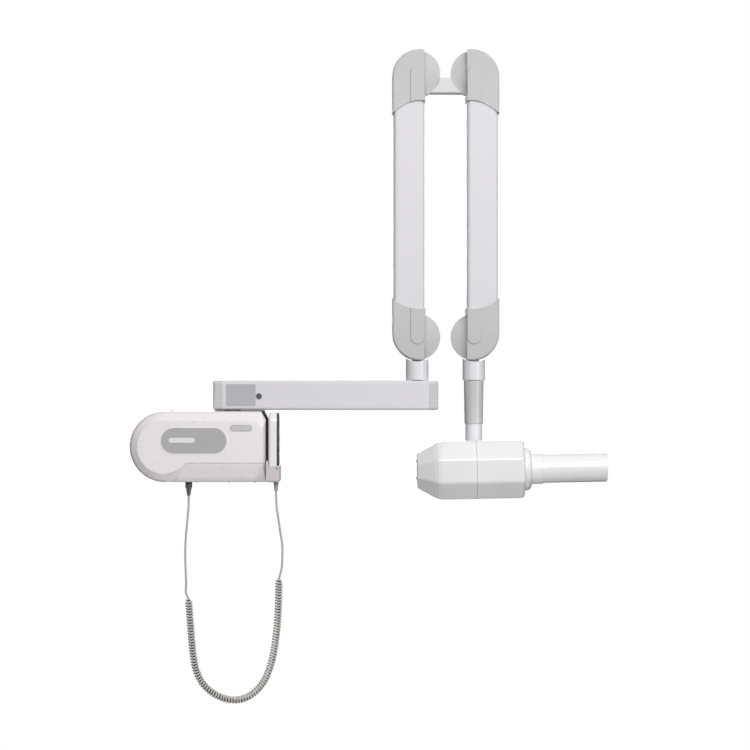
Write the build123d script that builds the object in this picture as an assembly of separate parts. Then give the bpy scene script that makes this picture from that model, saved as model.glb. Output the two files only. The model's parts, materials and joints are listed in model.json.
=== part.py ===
from build123d import *
import math
import os

# Wall-mounted intraoral x-ray unit, in millimetres.
# Origin: centre of the wall bracket's back face. +X right along the wall, +Y into the wall, +Z up.
# Rest pose: extension arm along +X, scissor arm folded upright, head hanging with its cone along +X.

# ---- driving dimensions -------------------------------------------------------------------------
WALL = 2.5                    # moulded covers
SHEET = 3.0                   # folded steel and tube walls
ARM_Y = -45.0                 # the plane that holds every arm
SWIVEL_X = -20.0              # vertical axis of the extension arm
FRONT_X = 405.0               # vertical axis of the scissor arm's base, and the rear arm's hubs
BRIDGE = 130.0                # distance between the two arms' hubs
HEAD_X = FRONT_X + BRIDGE     # vertical axis of the head, and the front arm's hubs
HUB_LOW = 250.0
ARM_LENGTH = 605.0            # hub to hub
HUB_HIGH = HUB_LOW + ARM_LENGTH

BOX_R = 80.3                  # rounded left end of the control box
BOX_CX = -169.1
BOX_CZ = -0.1
BOX_RIGHT = 60.0
BOX_SPLIT_Y = -84.0           # rear housing and bracket end, front cover starts
BOX_RIM_Y = -97.0             # the cover's straight rim ends and its bevel starts
BOX_FACE_Y = -115.0
BEVEL = ((0.0, BOX_RIM_Y), (0.07, -101.0), (0.24, -106.0), (0.9, -114.2), (1.0, BOX_FACE_Y))
BOX_TOP = BOX_CZ + BOX_R
BOX_BOTTOM = BOX_CZ - BOX_R
BOX_CHAMFER = (48.6, 61.0)    # where the top right chamfer leaves the top and meets the side
FACE_LEFT = -229.8            # the cover's raised face
FACE_RIGHT = 52.0
FACE_TOP = 59.1
FACE_BOTTOM = -60.4
FACE_CHAMFER = (40.0, 41.9)
SEAM_Z = -36.1                # top edge of the lower cover
SEAM_FOOT_X = -160.2          # the seam's slanted end, produced to the foot of the cutting prism
SEAM_TURN_X = -120.3
PRISM_FOOT = -100.0
SEAM_REACH = -148.0           # where the slanted seam meets the box's bottom edge
LOWER_BACK = 1.5              # the lower cover stands this much behind the front cover
PANEL = (-176.8, -28.1, -14.9, 42.6)       # grey panel on the face, as (left, right, bottom, top)
WINDOW = (-20.6, 29.5, 35.1, 49.6)
BOARD_POSTS = [(-200, -40), (-200, 40), (-90, -40), (-90, 40)]
BUTTON_X = -157.0
BUTTON_Y = -60.0
BUTTON_R = 7.0

BRACKET_LEFT = -57.8
BRACKET_RIGHT = 65.0
BRACKET_LOWER_RIGHT = 61.0
BRACKET_TOP = 81.8
BRACKET_BOTTOM = -77.9
WALL_BOLT_X = 80.0            # wall bolt spacing
WALL_BOLT_Z = 110.0
WALL_BOLT_R = 4.5

EXT_BOTTOM = 83.0
EXT_TOP = 150.3
EXT_LEFT = -41.0
EXT_RIGHT = 431.5
EXT_DEPTH = 50.0
CAP_LENGTH = 21.5
SWIVEL_R = 18.0
BASE_SHAFT_R = 12.0
RUNNING = 0.05                # radial clearance of a running fit

TUBE_IN = -16.0               # arm tube's edge on the side facing the other arm, from the hub centre
TUBE_OUT = 54.5
TUBE_DEPTH = 50.0
TUBE_END = 60.0               # the tube starts this far from its hub centres
HUB_PIN_R = 10.0
EYE_R = 38.0
EYE_T = 6.0
CHEEK_R = 53.0
CHEEK_EDGE = 8.5              # depth of the cheek's rim, where its conical front starts
CHEEK_FACE = 13.6
COVER_R = 57.5                # from the hub centre to the cover's outer side
COVER_ARC_R = 63.0            # the cover's round end, whose centre is off the hub
COVER_ARC_Z = 9.5
COVER_FACE = 28.0
COVER_GAP = 14.8
RIDGE_R = 16.4
CRANK = 30.0                  # level rod pivots from the hub centres
CRANK_R = 4.0
REAR_CRANK = (-CRANK * math.cos(math.radians(35)), CRANK * math.sin(math.radians(35)))
FRONT_CRANK = (CRANK * math.cos(math.radians(45)), CRANK * math.sin(math.radians(45)))

HEAD_Z = -49.5                # the cone's axis
HEAD_FLAT = 65.0              # half the octagon's width across flats
HEAD_BACK = 403.5
# The head's tapered back, as (x, half the width across flats, corner radius).
HEAD_TAPER = ((HEAD_BACK, 38.8, 5.0), (441.0, 60.0, 11.0), (450.0, 63.6, 12.0), (459.0, HEAD_FLAT, 12.0))
HEAD_TILT = 1.1               # degrees the cone is raised at rest, about the trunnion
HEAD_SEAM = 535.1
HEAD_FRONT = 642.9
YOKE_R = 19.0
SPINDLE_R = 14.0
HEAD_Y = ARM_Y - YOKE_R - 9.0 - HEAD_FLAT
RING_R = 49.4
RING_LENGTH = 16.6
RING_DOME = 11.5
CONE_BASE_R = 35.2
CONE_START = 686.9
CONE_R = 33.2
CONE_BORE_R = 30.2
CONE_END = 828.9
TRUNNION_R = 12.0
TRUNNION_IN = HEAD_Y + 20
TARGET_X = 596.0              # x-ray tube's focal spot

HAND_X = 66.8                 # handset's left side
HAND_FACE_X = 85.6
HAND_RIGHT = 90.0
HAND_Y = -98.0
HAND_WIDTH = 48.0
HAND_BOTTOM = -76.5
HAND_TOP = 77.5
BUTTON_Z = 28.0               # exposure button
SCREW_X = 86.8                # cradle screw
SCREW_Z = -47.3
GLAND_X = 83.2
GLAND_END = -99.5

PLUG_X = -118.9
PLUG_Y = -60.0
PLUG_BODY_END = -95.1
PLUG_END = -113.6
CORD_D = 4.8
COIL_D = 17.6

# The curly cord's route, as (x, y, z): straight lead, coil, straight lead.
CORD_LEFT = [
    (PLUG_X, PLUG_Y, PLUG_END), (-118.9, -60.0, -137.0), (-122.1, -60.3, -170.9),
    (-125.5, -60.6, -206.7), (-127.1, -60.8, -243.6), (-126.1, -61.0, -282.4),
    (-124.2, -61.0, -320.5), (-126.8, -61.0, -337.5),
    (-119.7, -61.0, -348.2),
]
COIL = [
    (-119.7, -61.0, -348.2), (-116.0, -61.0, -390.0), (-112.7, -63.0, -433.6),
    (-108.7, -65.0, -477.1), (-101.0, -67.5, -519.0), (-79.5, -70.0, -553.5),
    (-41.0, -72.5, -577.0), (-1.0, -75.0, -581.0), (33.5, -78.0, -563.5),
    (59.5, -81.0, -530.0), (74.5, -84.0, -485.3), (82.1, -86.5, -439.4),
    (86.8, -89.0, -392.5), (88.6, -89.0, -345.0), (89.7, -89.0, -299.9),
]
CORD_RIGHT = [
    (89.7, -89.0, -299.9), (96.5, -89.0, -277.0), (97.1, -90.0, -251.8),
    (97.8, -91.5, -224.9), (92.9, -93.5, -197.1), (89.1, -95.5, -167.3),
    (GLAND_X, HAND_Y, -130.5), (GLAND_X, HAND_Y, GLAND_END),
]


# ---- small helpers ------------------------------------------------------------------------------
def block(x0, x1, y0, y1, z0, z1):
    """A box between two corners, given in any order."""
    centre = Pos((x0 + x1) / 2, (y0 + y1) / 2, (z0 + z1) / 2)
    return centre * Box(abs(x1 - x0), abs(y1 - y0), abs(z1 - z0))


def rod_z(x, y, r, z0, z1):
    return Pos(x, y, (z0 + z1) / 2) * Cylinder(r, abs(z1 - z0))


def rod_y(x, z, r, y0, y1):
    return Pos(x, (y0 + y1) / 2, z) * Rot(90, 0, 0) * Cylinder(r, abs(y1 - y0))


def rod_x(y, z, r, x0, x1):
    return Pos((x0 + x1) / 2, y, z) * Rot(0, 90, 0) * Cylinder(r, abs(x1 - x0))


def front_plane(y):
    """A sketch plane at depth y, seen from the front: sketch x is +X, sketch y is +Z."""
    return Plane(origin=(0, y, 0), x_dir=(1, 0, 0), z_dir=(0, -1, 0))


def toward_front(sketch, y_back, y_front):
    """Extrude a front-plane sketch from y_back to the nearer y_front."""
    return extrude(front_plane(y_back) * sketch, amount=y_back - y_front)


def outline(*edges):
    return make_face(list(edges))


def polygon(points):
    return make_face(Polyline(*points, close=True))


def stadium(x0, x1, z0, z1):
    r = (z1 - z0) / 2
    body = Pos((x0 + x1) / 2, (z0 + z1) / 2) * RectangleRounded(x1 - x0, z1 - z0, r * 0.999)
    return body


def turned(points, x, y):
    """Revolve a profile of (radius, z) points round the vertical line at x, y."""
    face = make_face(Polyline(*[(r, 0, z) for r, z in points], close=True))
    return Pos(x, y, 0) * revolve(face, Axis.Z)


def tube_along(points, diameter):
    """A round tube along straight runs joined by tangent arcs, each as large as its runs allow."""
    pts = [Vector(*p) for p in points]
    radii = []
    for a, b, c in zip(pts, pts[1:], pts[2:]):
        turn = math.radians((b - a).get_angle(c - b))
        shorter = min((b - a).length, (c - b).length)
        radii.append(0.45 * shorter / math.tan(turn / 2))
    path = FilletPolyline(*pts, radius=radii)
    start = Plane(origin=pts[0], z_dir=pts[1] - pts[0])
    solid = sweep(start * Circle(diameter / 2), path)
    section = math.pi * diameter ** 2 / 4
    print("route", "length", round(path.length, 1), "least radius", round(min(radii), 1),
          "volume ratio", round(solid.volume / (section * path.length), 4))
    return solid


def save(name, *solids):
    """Write one node, made of one or more separate solids."""
    flat = []
    for s in solids:
        flat.extend(s.solids())
    shape = flat[0] if len(flat) == 1 else Compound(children=flat)
    export_step(shape, f"parts/{name}.step")


# ---- wall bracket and swivel bearing ------------------------------------------------------------
def wall_bracket():
    """Black steel tray: back plate with a folded rim, cut away at the handset holder."""
    shape = polygon([
        (BRACKET_LEFT, BRACKET_BOTTOM), (BRACKET_LOWER_RIGHT, BRACKET_BOTTOM),
        (BRACKET_LOWER_RIGHT, -33.3), (BRACKET_RIGHT, -31.3), (BRACKET_RIGHT, 64.0),
        (54.2, BRACKET_TOP), (BRACKET_LEFT, BRACKET_TOP),
    ])
    tray = toward_front(shape, 0, BOX_SPLIT_Y)
    folds = [e for e in tray.edges().filter_by(Axis.Y) if e.center().X > 50]
    tray = fillet(folds, 2)
    inside = offset(shape, amount=-SHEET, kind=Kind.INTERSECTION)
    tray -= toward_front(inside, -SHEET - 1, BOX_SPLIT_Y - 1)
    for sx in (-1, 1):
        for sz in (-1, 1):
            tray -= rod_y(sx * WALL_BOLT_X / 2, sz * WALL_BOLT_Z / 2, WALL_BOLT_R, 1, -6)
    tray -= rod_z(SWIVEL_X, ARM_Y, SWIVEL_R + 1.5, 70, 90)
    tray -= block(BRACKET_LEFT - 1, BRACKET_LEFT + 4, -20, -70, -40, 40)
    return tray


def bearing_housing():
    """Steel tube on two webs that stand on the bracket's back plate."""
    body = rod_z(SWIVEL_X, ARM_Y, 25, -66, 76)
    for z in (-60, 58):
        body += block(SWIVEL_X - 20, SWIVEL_X + 20, -SHEET - 1, ARM_Y, z, z + 10)
    return body - rod_z(SWIVEL_X, ARM_Y, 21, -67, 77)


def swivel_bushes():
    bushes = []
    for z in (-66, 46):
        ring = rod_z(SWIVEL_X, ARM_Y, 21, z, z + 30)
        bushes.append(ring - rod_z(SWIVEL_X, ARM_Y, SWIVEL_R + RUNNING, z - 1, z + 31))
    return bushes


# ---- control box --------------------------------------------------------------------------------
def housing_shape(inset):
    """Outline of the rear housing: half round on the left, square against the bracket."""
    r, right = BOX_R - inset, BRACKET_LEFT - 0.3 - inset
    top, bottom = (BOX_CX, BOX_CZ + r), (BOX_CX, BOX_CZ - r)
    arc = ThreePointArc(top, (BOX_CX - r, BOX_CZ), bottom)
    return outline(arc, Line(bottom, (right, BOX_CZ - r)), Line((right, BOX_CZ - r), (right, BOX_CZ + r)),
                   Line((right, BOX_CZ + r), top))


def cover_outline(inset, t):
    """The front cover's outline in six edges, from its rim (t = 0) to its raised face (t = 1)."""
    rim = (BOX_CX - BOX_R, BOX_RIGHT, BOX_TOP, BOX_BOTTOM, *BOX_CHAMFER)
    face = (FACE_LEFT, FACE_RIGHT, FACE_TOP, FACE_BOTTOM, *FACE_CHAMFER)
    left, right, top, bottom, across, down = [a + (b - a) * t for a, b in zip(rim, face)]
    cz = (top + bottom) / 2
    cx = left + (top - bottom) / 2
    r = (top - bottom) / 2 - inset
    start = Vector(cx, cz - r)
    face_r = (FACE_TOP - FACE_BOTTOM) / 2 - inset
    reach = math.asin((cz - SEAM_Z - inset) / face_r)
    half = (math.pi / 2 - reach) / 2
    face_mid = Vector(cx + face_r * math.sin(half), cz - face_r * math.cos(half))
    face_end = Vector(cx + face_r * math.cos(reach), SEAM_Z + inset)
    rim_end = Vector(SEAM_REACH, BOX_BOTTOM + inset)
    end = rim_end * (1 - t) + face_end * t
    middle = (start + end) * ((1 - t) / 2) + face_mid * t
    turn = ThreePointArc(start, middle, end) if t else Line(start, end)
    arc = ThreePointArc((cx, cz + r), (cx - r, cz), start)
    corners = [end, (right - inset, end.Y), (right - inset, down - inset / 3),
               (across - inset / 2, cz + r), (cx, cz + r)]
    return outline(arc, turn, *[Line(a, b) for a, b in zip(corners, corners[1:])])


def cover_form(inset):
    """The whole front cover as a solid, shrunk by inset: straight rim, then a rounded bevel."""
    form = toward_front(cover_outline(inset, 0), BOX_SPLIT_Y + (1 if inset else 0), BOX_RIM_Y)
    steps = [front_plane(y + inset * t) * cover_outline(inset, t) for t, y in BEVEL]
    for back, front in zip(steps, steps[1:]):
        form += loft([back, front], ruled=True)
    return form


def lower_prism(gap):
    """The corner of the box that the lower cover fills, grown (gap > 0) or shrunk (gap < 0)."""
    right = BOX_RIGHT + 10
    corners = [(SEAM_FOOT_X, PRISM_FOOT), (SEAM_TURN_X, SEAM_Z), (right, SEAM_Z), (right, PRISM_FOOT)]
    shape = polygon(corners)
    if gap:
        shape = offset(shape, amount=gap, kind=Kind.INTERSECTION)
    return toward_front(shape, -70, -130)


def front_cover():
    """White front shell with its raised face, and recesses for the grey panel and the window."""
    shell = cover_form(0) - lower_prism(0)
    shell -= cover_form(WALL) - lower_prism(WALL)
    panel = stadium(*PANEL)
    rim = offset(panel, amount=2.2) - panel
    shell += toward_front(rim, BOX_FACE_Y + 0.5, BOX_FACE_Y - 0.8)
    shell -= toward_front(panel, BOX_FACE_Y + 1, BOX_FACE_Y - 1)
    shell -= toward_front(stadium(*WINDOW), BOX_FACE_Y + 1, BOX_FACE_Y - 1)
    return shell


def lower_cover():
    """White service panel under the seam, set a little back from the front cover."""
    outer = Pos(0, LOWER_BACK, 0) * cover_form(0) & lower_prism(-0.4)
    inner = Pos(0, LOWER_BACK, 0) * cover_form(WALL) & lower_prism(-0.4 - WALL)
    return (outer - inner) & block(-200, 80, BOX_SPLIT_Y, BOX_FACE_Y, -100, 0)


def badge_panel():
    plate = toward_front(offset(stadium(*PANEL), amount=-0.15), BOX_FACE_Y + 1, BOX_FACE_Y - 0.2)
    return plate


def status_window():
    return toward_front(offset(stadium(*WINDOW), amount=-0.15), BOX_FACE_Y + 1, BOX_FACE_Y - 0.2)


def rear_housing():
    """White rear shell of the box, left of the bracket, open to the front."""
    shell = toward_front(housing_shape(0), -1, BOX_SPLIT_Y + 0.2)
    shell = fillet(shell.edges().group_by(Axis.Y)[-1], 2.4)
    shell -= toward_front(housing_shape(WALL), -1 - WALL, BOX_SPLIT_Y - 1)
    shell -= block(BRACKET_LEFT - 5, BRACKET_LEFT + 1, -20, -70, -40, 40)
    shell -= rod_z(PLUG_X, PLUG_Y, 6.2, BOX_BOTTOM - 1, BOX_BOTTOM + 5)
    shell -= rod_z(BUTTON_X, BUTTON_Y, BUTTON_R + 0.3, BOX_TOP - 5, BOX_TOP + 1)
    for x, z in BOARD_POSTS:
        shell += rod_y(x, z, 4, -1 - WALL, -25)
    return shell


def control_board():
    """Circuit board on its posts, with relays and a heat sink."""
    board = block(-208, -82, -25, -26.6, -48, 48)
    board += block(-195, -165, -26.6, -45, -30, 5)
    board += block(-195, -150, -26.6, -38, 15, 38)
    board += block(-120, -95, -26.6, -50, -20, 30)
    return board


def power_supply():
    """Mains transformer on the bracket's back plate."""
    core = block(10, 55, -SHEET - 1, -48, -70, -20)
    core += block(18, 47, -48, -62, -62, -28)
    return core


def power_button():
    """Round push button in the box's top, with an inner flange that keeps it in."""
    rise, low = 1.9, BOX_TOP + 0.5
    ball = (BUTTON_R ** 2 + rise ** 2) / (2 * rise)
    under = BOX_TOP - WALL - 0.4
    body = rod_z(BUTTON_X, BUTTON_Y, BUTTON_R, under - 3, low + rise)
    body &= Pos(BUTTON_X, BUTTON_Y, low + rise - ball) * Sphere(ball)
    body += rod_z(BUTTON_X, BUTTON_Y, 8.5, under - 2.8, under)
    return body + rod_z(BUTTON_X, BUTTON_Y, 4.5, under - 8, under - 1)


def cord_plug():
    """Screwed connector under the box with a ribbed, tapered strain relief."""
    profile = [(0, BOX_BOTTOM + 7), (9, BOX_BOTTOM + 7), (9, BOX_BOTTOM + WALL), (6, BOX_BOTTOM + WALL),
               (6, BOX_BOTTOM), (9.5, BOX_BOTTOM), (9.5, BOX_BOTTOM - 2.5), (8, BOX_BOTTOM - 2.5),
               (8, PLUG_BODY_END)]
    ribs = 4
    step = (PLUG_END - PLUG_BODY_END) / ribs
    for i in range(ribs):
        z = PLUG_BODY_END + i * step
        wide = 6.8 - 0.7 * i
        profile += [(wide, z), (wide - 0.4, z + 0.6 * step), (wide - 1.6, z + 0.6 * step),
                    (wide - 1.6, z + step)]
    profile += [(0, PLUG_END)]
    return turned(profile, PLUG_X, PLUG_Y)


# ---- handset and its holder ---------------------------------------------------------------------
def handset_cradle():
    """Open-topped cup screwed to the bracket's right side."""
    bottom = HAND_BOTTOM - 3.3
    cup = block(61.8, HAND_RIGHT + 3, HAND_Y - 28, HAND_Y + 28, bottom, -42.4)
    cup = fillet(cup.edges().filter_by(Axis.Z).group_by(Axis.X)[-1], 7)
    cup = fillet(cup.edges().group_by(Axis.Z)[0], 6)
    grow = 0.4
    cup -= block(HAND_X - grow, HAND_RIGHT + grow, HAND_Y - HAND_WIDTH / 2 - grow,
                 HAND_Y + HAND_WIDTH / 2 + grow, HAND_BOTTOM - 0.5, -40)
    lip = block(61.8, HAND_X - grow, HAND_Y - 22, HAND_Y + 22, -45, -32.4)
    cup += fillet(lip.edges().filter_by(Axis.X).group_by(Axis.Z)[-1], 6)
    cup -= rod_z(GLAND_X, HAND_Y, 7.5, bottom - 5, HAND_BOTTOM)
    cup -= rod_y(SCREW_X, SCREW_Z, 1.3, HAND_Y - 29, HAND_Y - 24)
    return cup


def cradle_screw():
    head = rod_y(SCREW_X, SCREW_Z, 2.6, HAND_Y - 28, HAND_Y - 29.6)
    head = fillet(head.edges().group_by(Axis.Y)[0], 0.9)
    return head + rod_y(SCREW_X, SCREW_Z, 1.25, HAND_Y - 24.8, HAND_Y - 28)


def handset_outline(inset):
    """Side outline of the handset in Y and Z, rounder at the top."""
    w, h = HAND_WIDTH / 2 - inset, (HAND_TOP - HAND_BOTTOM) / 2 - inset
    mid = (HAND_TOP + HAND_BOTTOM) / 2
    face = make_face(Polyline((-w, -h), (w, -h), (w, h), (-w, h), close=True))
    high = face.vertices().group_by(Axis.Y)[-1]
    face = fillet(high, 20 - inset)
    low = face.vertices().group_by(Axis.Y)[0]
    face = fillet(low, 8 - inset)
    side = Plane(origin=(0, HAND_Y, mid), x_dir=(0, 1, 0), z_dir=(1, 0, 0))
    return side * face


def handset_shell():
    body = Pos(HAND_X, 0, 0) * extrude(handset_outline(0), amount=HAND_FACE_X - HAND_X)
    body = fillet(body.edges().group_by(Axis.X)[0], 6)
    body -= Pos(HAND_X + WALL, 0, 0) * extrude(handset_outline(WALL), amount=40)
    body -= rod_z(GLAND_X - 6, HAND_Y, 3.0, HAND_BOTTOM - 1, HAND_BOTTOM + 5)
    return body


def handset_face():
    """Dark face plate with the raised key field and a hole for the exposure button."""
    plate = Pos(HAND_FACE_X, 0, 0) * extrude(handset_outline(0), amount=HAND_RIGHT - HAND_FACE_X)
    plate = fillet(plate.edges().group_by(Axis.X)[-1], 3.2)
    plate -= rod_x(HAND_Y, BUTTON_Z, 9.3, HAND_FACE_X - 1, HAND_RIGHT + 1)
    for y in (HAND_Y - 10, HAND_Y + 10):
        plate += rod_x(y, 2, 5, HAND_RIGHT - 0.5, HAND_RIGHT + 0.3)
    plate -= block(HAND_RIGHT - 0.5, HAND_RIGHT + 1, HAND_Y - 14, HAND_Y + 14, 46, 62)
    return plate


def exposure_button():
    body = rod_x(HAND_Y, BUTTON_Z, 9, HAND_FACE_X + 0.6, HAND_RIGHT + 1.6)
    body = fillet(body.edges().group_by(Axis.X)[-1], 1.2)
    body += rod_x(HAND_Y, BUTTON_Z, 5, HAND_FACE_X - 1, HAND_FACE_X + 1)
    return body + rod_x(HAND_Y, BUTTON_Z, 11, HAND_FACE_X - 2.6, HAND_FACE_X - 0.3)


def handset_gland():
    """Tapered strain relief under the handset."""
    return turned([(0, HAND_BOTTOM), (6.2, HAND_BOTTOM), (6.2, HAND_BOTTOM - 3), (5.4, HAND_BOTTOM - 6),
                   (4.0, GLAND_END + 3.4), (4.9, GLAND_END + 2.4), (4.9, GLAND_END + 0.6), (4.0, GLAND_END),
                   (0, GLAND_END)], GLAND_X, HAND_Y)


# ---- extension arm ------------------------------------------------------------------------------
def ext_section(inset):
    """Rounded rectangular section of the extension arm, on a plane across X."""
    height = EXT_TOP - EXT_BOTTOM
    mid = Plane(origin=(0, ARM_Y, (EXT_TOP + EXT_BOTTOM) / 2), x_dir=(0, 1, 0), z_dir=(1, 0, 0))
    return mid * RectangleRounded(EXT_DEPTH - 2 * inset, height - 2 * inset, 6 - inset)


def ext_piece(inset, x0, x1):
    return Pos(x0, 0, 0) * extrude(ext_section(inset), amount=x1 - x0)


def extension_tube():
    tube = ext_piece(0, EXT_LEFT, EXT_RIGHT) - ext_piece(SHEET, EXT_LEFT - 1, EXT_RIGHT + 1)
    tube -= rod_z(SWIVEL_X, ARM_Y, SWIVEL_R, EXT_BOTTOM - 1, EXT_BOTTOM + 5)
    tube -= rod_z(FRONT_X, ARM_Y, BASE_SHAFT_R + 0.6, EXT_TOP - 5, EXT_TOP + 1)
    return tube


def extension_caps():
    """Moulded end caps with a lip inside the tube and a fine groove along their lower third."""
    caps = []
    for inner, outer in ((EXT_LEFT, EXT_LEFT - CAP_LENGTH), (EXT_RIGHT, EXT_RIGHT + CAP_LENGTH)):
        way = 1 if outer > inner else -1
        cap = ext_piece(0, min(inner, outer), max(inner, outer))
        cap = fillet(cap.edges().group_by(Axis.X)[-1 if way > 0 else 0], 5.5)
        hollow = (inner - way * 1, outer - way * SHEET)
        cap -= ext_piece(SHEET, min(hollow), max(hollow))
        groove_z = EXT_BOTTOM + 22
        groove = block(inner + way * 2, outer + way, ARM_Y - 40, ARM_Y + 40, groove_z, groove_z + 1.2)
        core = ext_piece(0.6, min(inner, outer - way * 0.6), max(inner, outer - way * 0.6))
        cap -= groove - core
        lip_end, root = inner - way, inner + way * 4
        lip = ext_piece(SHEET + 0.1, min(lip_end, root), max(lip_end, root))
        lip += ext_piece(SHEET - 0.5, min(inner, root), max(inner, root))
        lip -= ext_piece(SHEET + 2.1, min(lip_end, root) - 1, max(lip_end, root) + 1)
        caps.append(cap + lip)
    return caps


def swivel_shaft():
    """Steel post welded into the extension arm, turning in the wall bracket's bushes."""
    return rod_z(SWIVEL_X, ARM_Y, SWIVEL_R, -64, EXT_TOP - SHEET)


def front_bearing():
    """Bearing block inside the arm's front end."""
    lo, hi = EXT_BOTTOM + SHEET, EXT_TOP - SHEET
    body = block(FRONT_X - 22, FRONT_X + 22, ARM_Y - 21.9, ARM_Y + 21.9, lo, hi)
    body = chamfer(body.edges().filter_by(Axis.X), 3)
    return body - rod_z(FRONT_X, ARM_Y, BASE_SHAFT_R + RUNNING, lo - 1, hi + 1)


def label_plate():
    """Blank rating plate on the arm's front."""
    y = ARM_Y - EXT_DEPTH / 2
    return toward_front(Pos(0.9, 117) * RectangleRounded(67.8, 50, 3), y, y - 0.5)


def round_plug():
    """Round blanking plug beside the plate."""
    y = ARM_Y - EXT_DEPTH / 2
    plug = rod_y(42.5, 114.5, 7.5, y, y - 1.6)
    return chamfer(plug.edges().group_by(Axis.Y)[0], 0.8)


# ---- scissor arm's hubs -------------------------------------------------------------------------
def eye(hx, hz, crank):
    """Middle plate of a hub: eye, boss round the pin, and the level rod's crank pin."""
    plate = rod_y(hx, hz, EYE_R, ARM_Y, ARM_Y - EYE_T)
    plate += rod_y(hx, hz, 15, ARM_Y + EYE_T, ARM_Y - EYE_T)
    plate += rod_y(hx + crank[0], hz + crank[1], CRANK_R, ARM_Y + EYE_T, ARM_Y - EYE_T)
    return plate


def eye_bore(hx, hz):
    return rod_y(hx, hz, HUB_PIN_R + RUNNING, ARM_Y + 20, ARM_Y - 20)


def cheeks(hx, hz):
    """Two round grey cheeks, one on each side of a hub's eye."""
    pair = []
    for side in (-1, 1):
        plate = rod_y(hx, hz, CHEEK_R, ARM_Y + side * EYE_T, ARM_Y + side * CHEEK_EDGE)
        slope = Rot(-90 * side, 0, 0) * Cone(CHEEK_R - 0.8, 30, CHEEK_FACE - CHEEK_EDGE)
        plate += Pos(hx, ARM_Y + side * (CHEEK_FACE + CHEEK_EDGE) / 2, hz) * slope
        raised = rod_y(hx, hz, 29, ARM_Y + side * (CHEEK_FACE - 1), ARM_Y + side * (CHEEK_FACE + 0.6))
        raised = fillet(raised.edges().group_by(Axis.Y)[0 if side < 0 else -1], 0.5)
        plate += raised
        pair.append(plate - rod_y(hx, hz, HUB_PIN_R + 0.6, ARM_Y - 20, ARM_Y + 20))
    return pair


def saddle_neck(x, r, z0):
    """Round neck under a hub, its top hollowed so that the hub covers sweep over it."""
    neck = rod_z(x, ARM_Y, r, z0, HUB_LOW - 48)
    neck = fillet(neck.edges().group_by(Axis.Z)[0], 2)
    neck -= rod_y(x, HUB_LOW, COVER_ARC_R - 7, ARM_Y - 40, ARM_Y + 40)
    neck += block(x - 12, x + 12, ARM_Y - EYE_T, ARM_Y + EYE_T, HUB_LOW - 62, HUB_LOW - 30)
    return neck


def base_neck():
    """White casting: round neck, web, and the rear arm's lower eye."""
    body = saddle_neck(FRONT_X, 26, EXT_TOP + 0.6) + eye(FRONT_X, HUB_LOW, REAR_CRANK)
    body -= eye_bore(FRONT_X, HUB_LOW)
    return body - rod_z(FRONT_X, ARM_Y, BASE_SHAFT_R, EXT_TOP, 180)


def base_shaft():
    return rod_z(FRONT_X, ARM_Y, BASE_SHAFT_R, EXT_BOTTOM + SHEET + 3, 180)


def bridge_bar():
    """White casting that joins the two arms' upper eyes."""
    low, high = HUB_HIGH - 46, HUB_HIGH - 10
    bar = block(FRONT_X, HEAD_X, ARM_Y - 14, ARM_Y + 14, low, high)
    bar = fillet(bar.edges().filter_by(Axis.X), 4)
    for hx in (FRONT_X, HEAD_X):
        bar -= rod_y(hx, HUB_HIGH, CHEEK_R + 0.4, ARM_Y - 20, ARM_Y + 20)
    bar += block(FRONT_X + 28, HEAD_X - 28, ARM_Y - EYE_T, ARM_Y + EYE_T, low + 4, high - 2)
    bar += eye(FRONT_X, HUB_HIGH, REAR_CRANK) + eye(HEAD_X, HUB_HIGH, FRONT_CRANK)
    return bar - eye_bore(FRONT_X, HUB_HIGH) - eye_bore(HEAD_X, HUB_HIGH)


def head_collar():
    """White casting: the front arm's lower eye, web, and the collar that the head turns in."""
    body = saddle_neck(HEAD_X, 25.75, 151) + eye(HEAD_X, HUB_LOW, FRONT_CRANK)
    body -= eye_bore(HEAD_X, HUB_LOW)
    return body - rod_z(HEAD_X, ARM_Y, SPINDLE_R + RUNNING, 150, 183)


# ---- arms: made for one arm in a local frame, then placed ---------------------------------------
# Local frame of an arm end: x runs outward from the other arm, z runs from the hub along the arm,
# y is the real y measured from the arms' plane.
def place(solid, hx, hz, outward, along):
    """Put an arm-end solid at a hub; outward and along are +1 or -1."""
    if outward < 0:
        solid = mirror(solid, Plane.YZ)
    if along < 0:
        solid = mirror(solid, Plane.XY)
    return Pos(hx, ARM_Y, hz) * solid


def tube_section(inset):
    width = TUBE_OUT - TUBE_IN - 2 * inset
    return Pos((TUBE_OUT + TUBE_IN) / 2, 0) * RectangleRounded(width, TUBE_DEPTH - 2 * inset, 9 - inset)


def arm_tube(hx, outward):
    tube = extrude(tube_section(0), amount=ARM_LENGTH - 2 * TUBE_END)
    tube -= Pos(0, 0, -1) * extrude(tube_section(SHEET), amount=ARM_LENGTH)
    return place(Pos(0, 0, TUBE_END) * tube, hx, HUB_LOW, outward, 1)


def fork():
    """Steel end fitting: a block inside the tube and two ears that hold the hub pin."""
    body = Pos(0, 0, TUBE_END - 2) * extrude(tube_section(SHEET + 0.1), amount=34)
    for side in (-1, 1):
        ear = block(-12.5, 12.5, side * 15, side * 21.8, 0, TUBE_END - 1)
        ear += rod_y(0, 0, 12.5, side * 15, side * 21.8)
        body += ear
    body -= block(14, 39, -0.8, 6.8, TUBE_END - 5, TUBE_END + 40)
    return body - rod_y(0, 0, HUB_PIN_R, -30, 30)


def hub_pin():
    pin = rod_y(0, 0, HUB_PIN_R, -24, 24)
    for side in (-1, 1):
        pin += rod_y(0, 0, 12.5, side * 21.8, side * 24.3)
    return pin


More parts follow.
